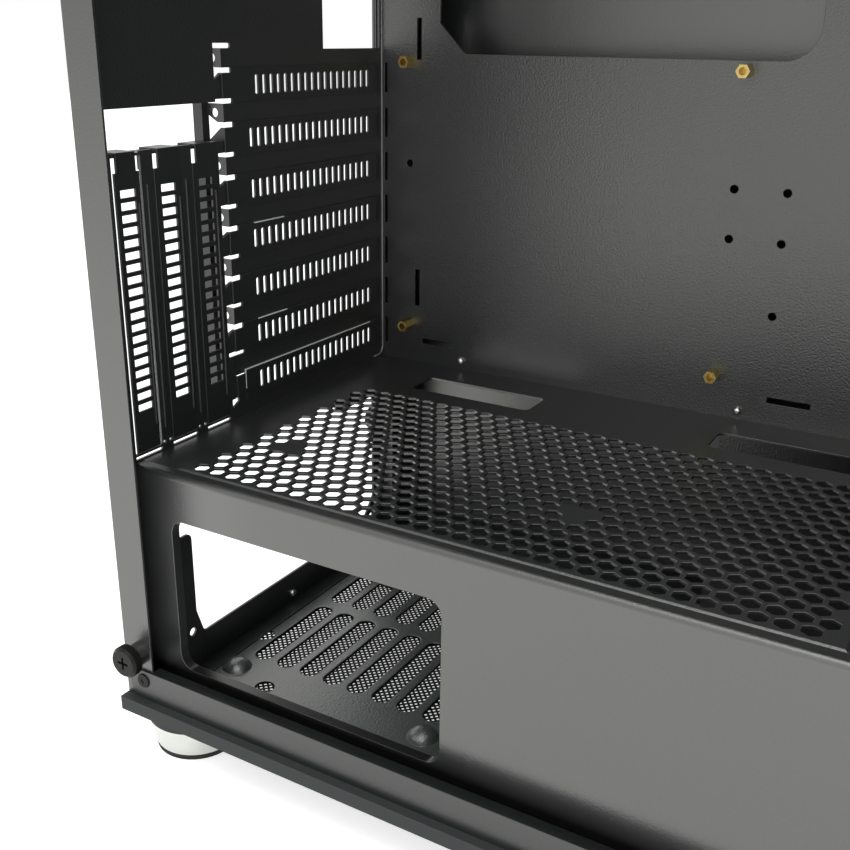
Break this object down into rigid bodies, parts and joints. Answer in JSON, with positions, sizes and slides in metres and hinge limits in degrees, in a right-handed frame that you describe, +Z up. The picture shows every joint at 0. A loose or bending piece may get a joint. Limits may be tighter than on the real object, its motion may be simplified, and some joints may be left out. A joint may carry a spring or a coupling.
{
  "type": "mid-tower pc case",
  "caption": "Mid-tower computer case with an open left side, a perforated power-supply shroud, vented slot covers, standoffs on the tray and bright-ringed feet.",
  "frame": {"origin": "on the floor under the middle of the overall box", "axes": "+Z up, -Y to the front bezel, +Y to the rear panel, -X to the open side"},
  "size_m": [0.217, 0.4334, 0.4746],
  "materials": {
    "black_steel": "satin powder coat",
    "black_plastic": "fine grain",
    "filter_mesh": "woven mesh",
    "bright_steel": "bright zinc",
    "brass": "turned",
    "black_screw": "black oxide",
    "chrome_ring": "bright plating",
    "rubber": "matte"
  },
  "bodies": {
    "chassis": {"rear_left_flange": "black_steel", "rear_right_channel": "black_steel", "rear_supply_panel": "black_steel", "rear_upright_panel": "black_steel", "rear_slot_panel": "black_steel", "rear_fan_panel": "black_steel", "bottom_panel": "black_steel", "top_panel": "black_steel", "front_frame": "black_steel", "motherboard_tray": "black_steel", "psu_shroud_top": "black_steel", "psu_shroud_side": "black_steel", "lower_left_rail": "black_steel", "upper_left_rail": "black_steel", "lower_right_rail": "black_steel", "upper_right_rail": "black_steel", "slot_guard": "black_steel", "upright_shelf": "black_steel", "drive_cage": "black_steel", "panel_posts": "black_steel", "slot_cover_1": "black_steel", "slot_cover_2": "black_steel", "slot_cover_3": "black_steel", "slot_cover_4": "black_steel", "slot_cover_5": "black_steel", "slot_cover_6": "black_steel", "slot_cover_7": "black_steel", "upright_slot_cover_1": "black_steel", "upright_slot_cover_2": "black_steel", "upright_slot_cover_3": "black_steel", "base_skirt": "black_plastic", "top_cover": "black_plastic", "audio_jacks": "black_plastic", "usb_tongues": "black_plastic", "filter_runners": "black_plastic", "foot_body_1": "black_plastic", "foot_body_2": "black_plastic", "foot_body_3": "black_plastic", "foot_body_4": "black_plastic", "shroud_screws": "bright_steel", "usb_shells": "bright_steel", "standoffs": "brass", "rivets": "black_screw", "foot_rings": "chrome_ring", "foot_pads": "rubber"},
    "power_button": {"power_button": "black_plastic"},
    "reset_button": {"reset_button": "black_plastic"},
    "supply_filter": {"psu_filter_frame": "black_plastic", "psu_filter_mesh": "filter_mesh"},
    "right_panel": {"right_side_panel": "black_steel"},
    "right_thumbscrew_1": {"right_thumbscrew_1": "black_screw"},
    "right_thumbscrew_2": {"right_thumbscrew_2": "black_screw"},
    "left_thumbscrew_1": {"left_thumbscrew_1": "black_screw"},
    "left_thumbscrew_2": {"left_thumbscrew_2": "black_screw"},
    "left_thumbscrew_3": {"left_thumbscrew_3": "black_screw"},
    "left_thumbscrew_4": {"left_thumbscrew_4": "black_screw"},
    "bezel": {"front_bezel": "black_plastic"},
    "top_filter": {"top_filter_frame": "black_plastic", "top_filter_mesh": "filter_mesh"}
  },
  "joints": [
    {"name": "power_button_press", "type": "slide", "parent": "chassis", "child": "power_button", "axis": [0, 0, -1], "range_m": [0, 0.0012], "stiffness_N_per_m": 400, "springref_m": -0.001},
    {"name": "reset_button_press", "type": "slide", "parent": "chassis", "child": "reset_button", "axis": [0, 0, -1], "range_m": [0, 0.0012], "stiffness_N_per_m": 400, "springref_m": -0.001},
    {"name": "supply_filter_slide", "type": "slide", "parent": "chassis", "child": "supply_filter", "axis": [0, 1, 0], "range_m": [0, 0.14]},
    {"name": "right_panel_slide", "type": "slide", "parent": "chassis", "child": "right_panel", "axis": [0, 1, 0], "range_m": [0, 0.02]},
    {"name": "bezel_pull", "type": "slide", "parent": "chassis", "child": "bezel", "axis": [0, -1, 0], "range_m": [0, 0.03]},
    {"name": "top_filter_lift", "type": "slide", "parent": "chassis", "child": "top_filter", "axis": [0, 0, 1], "range_m": [0, 0.03]},
    {"name": "right_thumbscrew_1_turn", "type": "hinge", "parent": "right_panel", "child": "right_thumbscrew_1", "pos_m": [0.09675, 0.20845, 0.0849], "axis": [0, 1, 0], "continuous": true},
    {"name": "right_thumbscrew_2_turn", "type": "hinge", "parent": "right_panel", "child": "right_thumbscrew_2", "pos_m": [0.09675, 0.20845, 0.4068], "axis": [0, 1, 0], "continuous": true},
    {"name": "left_thumbscrew_1_turn", "type": "hinge", "parent": "chassis", "child": "left_thumbscrew_1", "pos_m": [-0.09825, 0.19925, 0.0463], "axis": [1, 0, 0], "continuous": true},
    {"name": "left_thumbscrew_2_turn", "type": "hinge", "parent": "chassis", "child": "left_thumbscrew_2", "pos_m": [-0.09825, 0.19925, 0.4408], "axis": [1, 0, 0], "continuous": true},
    {"name": "left_thumbscrew_3_turn", "type": "hinge", "parent": "chassis", "child": "left_thumbscrew_3", "pos_m": [-0.09825, -0.18375, 0.0463], "axis": [1, 0, 0], "continuous": true},
    {"name": "left_thumbscrew_4_turn", "type": "hinge", "parent": "chassis", "child": "left_thumbscrew_4", "pos_m": [-0.09825, -0.18375, 0.4408], "axis": [1, 0, 0], "continuous": true}
  ]
}
